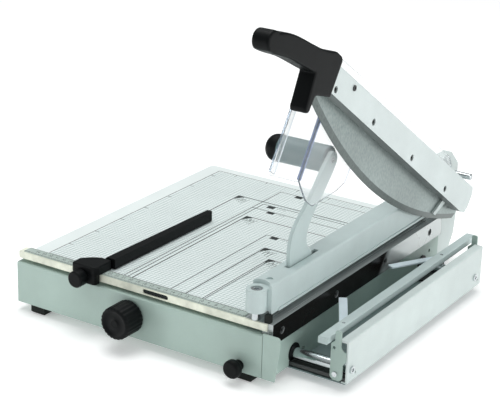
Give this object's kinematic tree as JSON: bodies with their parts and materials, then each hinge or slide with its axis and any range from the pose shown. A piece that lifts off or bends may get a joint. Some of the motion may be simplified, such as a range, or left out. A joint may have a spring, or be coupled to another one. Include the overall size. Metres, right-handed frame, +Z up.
{
  "type": "guillotine paper cutter",
  "caption": "Desktop guillotine paper cutter with a raised curved blade arm, clear finger guard, lever paper clamp, sliding back gauge and knob-driven pull-out strip gauge",
  "frame": {"origin": "bottom centre of the overall bounding box, on the plane the feet stand on", "axes": "+X from the paper table towards the blade side, +Y from the operator's side to the rear, +Z up"},
  "size_m": [0.4402, 0.5436, 0.4249],
  "materials": {
    "panel_paint": "satin grey-green powder coat",
    "table_paint": "pale grey printed coat",
    "arm_paint": "light grey powder coat",
    "clamp_paint": "light grey powder coat",
    "lever_paint": "light grey paint",
    "grip_paint": "dark grey-green paint",
    "ruler_cream": "cream plastic strip",
    "scale_print": "grey printed scale",
    "knife_steel": "ground steel",
    "blade_steel": "ground steel",
    "bright_steel": "bright plated steel",
    "zinc_steel": "pale zinc plate",
    "rod_steel": "polished steel",
    "dark_steel": "black finished steel",
    "black_plastic": "fine textured black",
    "black_rubber": "black rubber",
    "clear_guard": "clear polycarbonate",
    "gear_brass": "machined brass",
    "hub_steel": "turned steel"
  },
  "bodies": {
    "base": {"front_panel": "panel_paint", "base_walls": "panel_paint", "side_panel": "panel_paint", "ear_plate": "panel_paint", "table_plate": "table_paint", "front_ruler": "ruler_cream", "ruler_scale": "scale_print", "bed_knife": "knife_steel", "knife_screws": "dark_steel", "knife_buffer": "black_rubber", "feet": "black_rubber", "foot_screws": "bright_steel", "rear_bracket": "arm_paint", "bracket_screws": "dark_steel", "pivot_bolt": "bright_steel", "pivot_washers": "bright_steel", "stop_pin": "rod_steel", "clamp_posts": "rod_steel", "clamp_screws": "bright_steel", "rod_bushings": "black_plastic", "shaft_bearings": "dark_steel"},
    "blade_arm": {"arm_beam": "arm_paint", "blade": "blade_steel", "blade_screws": "dark_steel", "pivot_bush": "gear_brass", "blade_rib": "arm_paint", "handle": "black_plastic", "arm_set_screw": "dark_steel"},
    "guard": {"blade_guard": "clear_guard"},
    "clamp": {"clamp_bar": "clamp_paint", "lever_pin": "bright_steel"},
    "clamp_lever": {"lever_plate": "lever_paint", "lever_spacers": "hub_steel", "lever_grip": "grip_paint", "grip_rod": "bright_steel", "grip_cap": "black_plastic"},
    "back_gauge": {"gauge_bar": "black_plastic", "gauge_head": "black_plastic"},
    "gauge_screw": {"gauge_stud": "bright_steel", "gauge_knob": "black_plastic"},
    "strip_gauge": {"stop_bar": "clamp_paint", "bar_caps": "lever_paint", "swivel_pins": "bright_steel", "outer_panel": "arm_paint", "end_plate_front": "panel_paint", "end_plate_rear": "panel_paint", "plate_screws": "bright_steel", "guide_rods": "rod_steel", "panel_screws": "bright_steel", "slide_channels": "dark_steel", "racks": "gear_brass"},
    "swivel_front": {"swivel_arm_front": "zinc_steel"},
    "swivel_rear": {"swivel_arm_rear": "zinc_steel"},
    "knob_drive": {"large_knob": "black_plastic", "knob_shaft": "rod_steel", "pinions": "gear_brass"},
    "lock_screw": {"lock_knob": "black_plastic", "lock_stud": "bright_steel"}
  },
  "joints": [
    {"name": "blade_arm_hinge", "type": "hinge", "parent": "base", "child": "blade_arm", "pos_m": [0.1429, 0.23483, 0.1005], "axis": [1, 0, 0], "range_deg": [0, 33.5]},
    {"name": "guard_hinge", "type": "hinge", "parent": "base", "child": "guard", "pos_m": [0.1429, 0.23483, 0.1005], "axis": [1, 0, 0], "range_deg": [0, 10]},
    {"name": "clamp_lever_hinge", "type": "hinge", "parent": "clamp", "child": "clamp_lever", "pos_m": [0.12015, -0.11617, 0.1095], "axis": [1, 0, 0], "range_deg": [-38, 0]},
    {"name": "clamp_slide", "type": "slide", "parent": "base", "child": "clamp", "axis": [0, 0, 1], "range_m": [-0.006, 0]},
    {"name": "back_gauge_slide", "type": "slide", "parent": "base", "child": "back_gauge", "axis": [1, 0, 0], "range_m": [-0.075, 0.16]},
    {"name": "gauge_knob_spin", "type": "hinge", "parent": "back_gauge", "child": "gauge_screw", "pos_m": [-0.1146, -0.22517, 0.0736], "axis": [0, 1, 0], "continuous": true},
    {"name": "strip_gauge_slide", "type": "slide", "parent": "base", "child": "strip_gauge", "axis": [1, 0, 0], "range_m": [-0.034, 0.012]},
    {"name": "large_knob_spin", "type": "hinge", "parent": "base", "child": "knob_drive", "pos_m": [-0.0488, -0.19517, 0.0385], "axis": [0, 1, 0], "range_deg": [-40, 110]},
    {"name": "swivel_front_hinge", "type": "hinge", "parent": "strip_gauge", "child": "swivel_front", "pos_m": [0.1909, -0.13317, 0.0615], "axis": [0, 0, 1], "range_deg": [-31, 12]},
    {"name": "swivel_rear_hinge", "type": "hinge", "parent": "strip_gauge", "child": "swivel_rear", "pos_m": [0.1909, 0.11583, 0.0615], "axis": [0, 0, 1], "range_deg": [-12, 31]},
    {"name": "lock_knob_spin", "type": "hinge", "parent": "base", "child": "lock_screw", "pos_m": [0.1039, -0.22417, 0.0195], "axis": [0, 1, 0], "continuous": true}
  ],
  "couplings": [
    {"joint": "clamp_lever_hinge", "follows": "clamp_slide", "rad_per_m": 110.54},
    {"joint": "large_knob_spin", "follows": "strip_gauge_slide", "rad_per_m": -55.556},
    {"joint": "swivel_front_hinge", "follows": "strip_gauge_slide", "rad_per_m": 15.184},
    {"joint": "swivel_rear_hinge", "follows": "strip_gauge_slide", "rad_per_m": -15.184}
  ]
}
